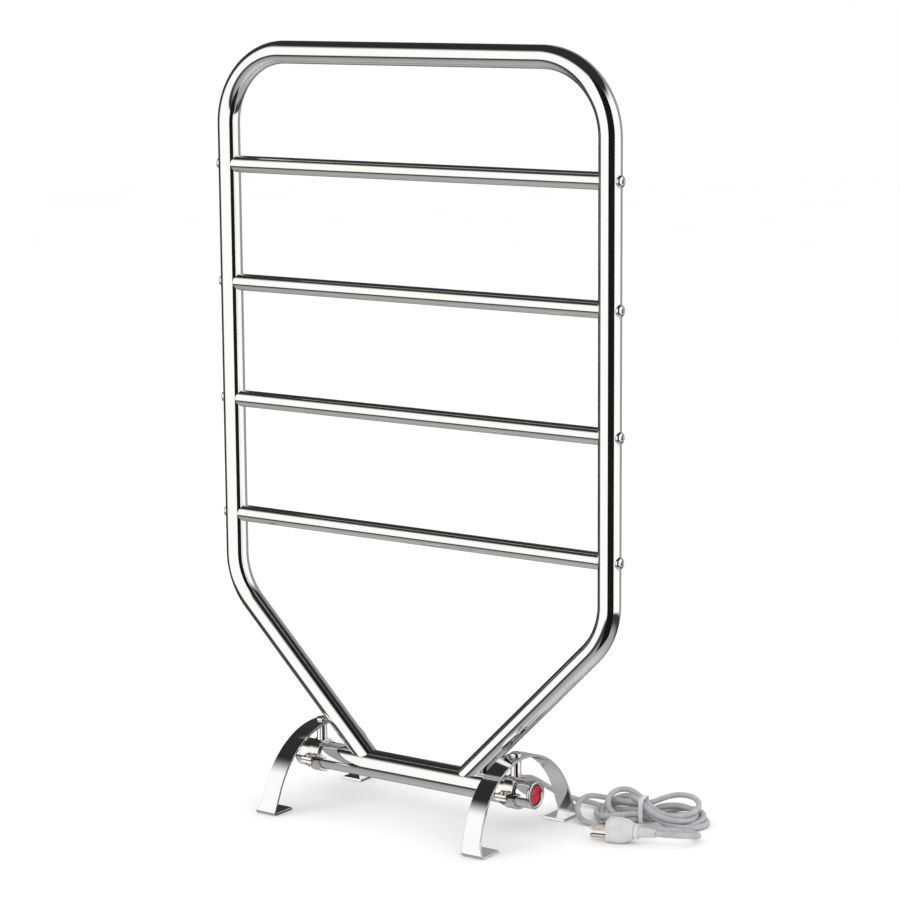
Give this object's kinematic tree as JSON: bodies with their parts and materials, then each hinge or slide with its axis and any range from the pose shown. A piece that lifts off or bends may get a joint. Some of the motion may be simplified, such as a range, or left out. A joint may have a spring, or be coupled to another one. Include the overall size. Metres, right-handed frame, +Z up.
{
  "type": "towel warmer rack",
  "caption": "Free-standing chrome towel warmer: a bent tube frame with crossbars on a heated base tube, arched strip feet, an end rocker switch and a bundled mains cord.",
  "frame": {"origin": "on the floor, under the middle of the rack in the plane of its tube frame", "axes": "+Z up along the uprights; +X along the heater towards the switch end; -Y is the front"},
  "size_m": [0.59, 0.2591, 0.8636],
  "materials": {
    "frame_chrome": "bright mirror chrome on a bent tube",
    "bar_chrome": "bright mirror chrome on a straight tube",
    "heater_chrome": "bright mirror chrome, turned end rings",
    "foot_chrome": "bright mirror chrome on flat polished strip",
    "clamp_chrome": "bright chrome on small clamp pieces",
    "screw_chrome": "bright chrome dome",
    "clamp_fastener": "warm nickel-washed brass screws and nuts",
    "insert_steel": "turned steel, inside a tube",
    "element_sheath": "heat-tinted steel sheath",
    "element_seal": "silicone bush",
    "switch_plastic": "black moulded plastic",
    "rocker_red": "translucent red, glossy",
    "cord_pvc": "light grey PVC sheath, soft sheen",
    "relief_pvc": "grey PVC, moulded",
    "cord_tie": "pale twist tie",
    "plug_pvc": "light grey moulded PVC",
    "plug_brass": "nickel-washed brass blades"
  },
  "bodies": {
    "rack": {"frame_tube": "frame_chrome", "crossbar_1": "bar_chrome", "crossbar_2": "bar_chrome", "crossbar_3": "bar_chrome", "crossbar_4": "bar_chrome", "bar_insert_left_1": "insert_steel", "bar_insert_right_1": "insert_steel", "bar_insert_left_2": "insert_steel", "bar_insert_right_2": "insert_steel", "bar_insert_left_3": "insert_steel", "bar_insert_right_3": "insert_steel", "bar_insert_left_4": "insert_steel", "bar_insert_right_4": "insert_steel", "bar_screw_left_1": "screw_chrome", "bar_screw_right_1": "screw_chrome", "bar_screw_left_2": "screw_chrome", "bar_screw_right_2": "screw_chrome", "bar_screw_left_3": "screw_chrome", "bar_screw_right_3": "screw_chrome", "bar_screw_left_4": "screw_chrome", "bar_screw_right_4": "screw_chrome", "heater_tube": "heater_chrome", "end_cap_left": "heater_chrome", "heating_element": "element_sheath", "element_bush_left": "element_seal", "element_bush_right": "element_seal", "switch_housing": "heater_chrome", "switch_bezel": "heater_chrome", "switch_body": "switch_plastic", "foot_arch_left": "foot_chrome", "collar_upper_left": "clamp_chrome", "collar_lower_left": "clamp_chrome", "foot_post_left": "clamp_chrome", "foot_bolt_left": "clamp_chrome", "collar_screw_front_left": "clamp_fastener", "collar_nut_front_left": "clamp_fastener", "collar_screw_back_left": "clamp_fastener", "collar_nut_back_left": "clamp_fastener", "foot_arch_right": "foot_chrome", "collar_upper_right": "clamp_chrome", "collar_lower_right": "clamp_chrome", "foot_post_right": "clamp_chrome", "foot_bolt_right": "clamp_chrome", "collar_screw_front_right": "clamp_fastener", "collar_nut_front_right": "clamp_fastener", "collar_screw_back_right": "clamp_fastener", "collar_nut_back_right": "clamp_fastener", "cord_strain_relief": "relief_pvc", "cord_lead": "cord_pvc", "cord_tail": "cord_pvc", "cord_hank": "cord_pvc", "cord_tie": "cord_tie", "plug_body": "plug_pvc", "plug_strain_relief": "plug_pvc", "plug_blade_1": "plug_brass", "plug_blade_2": "plug_brass", "plug_ground_pin": "plug_brass"},
    "rocker": {"rocker": "rocker_red"}
  },
  "joints": [
    {"name": "rocker_tilt", "type": "hinge", "parent": "rack", "child": "rocker", "pos_m": [0.1558, 0, 0.049], "axis": [0, -1, 0], "range_deg": [0, 16]}
  ]
}
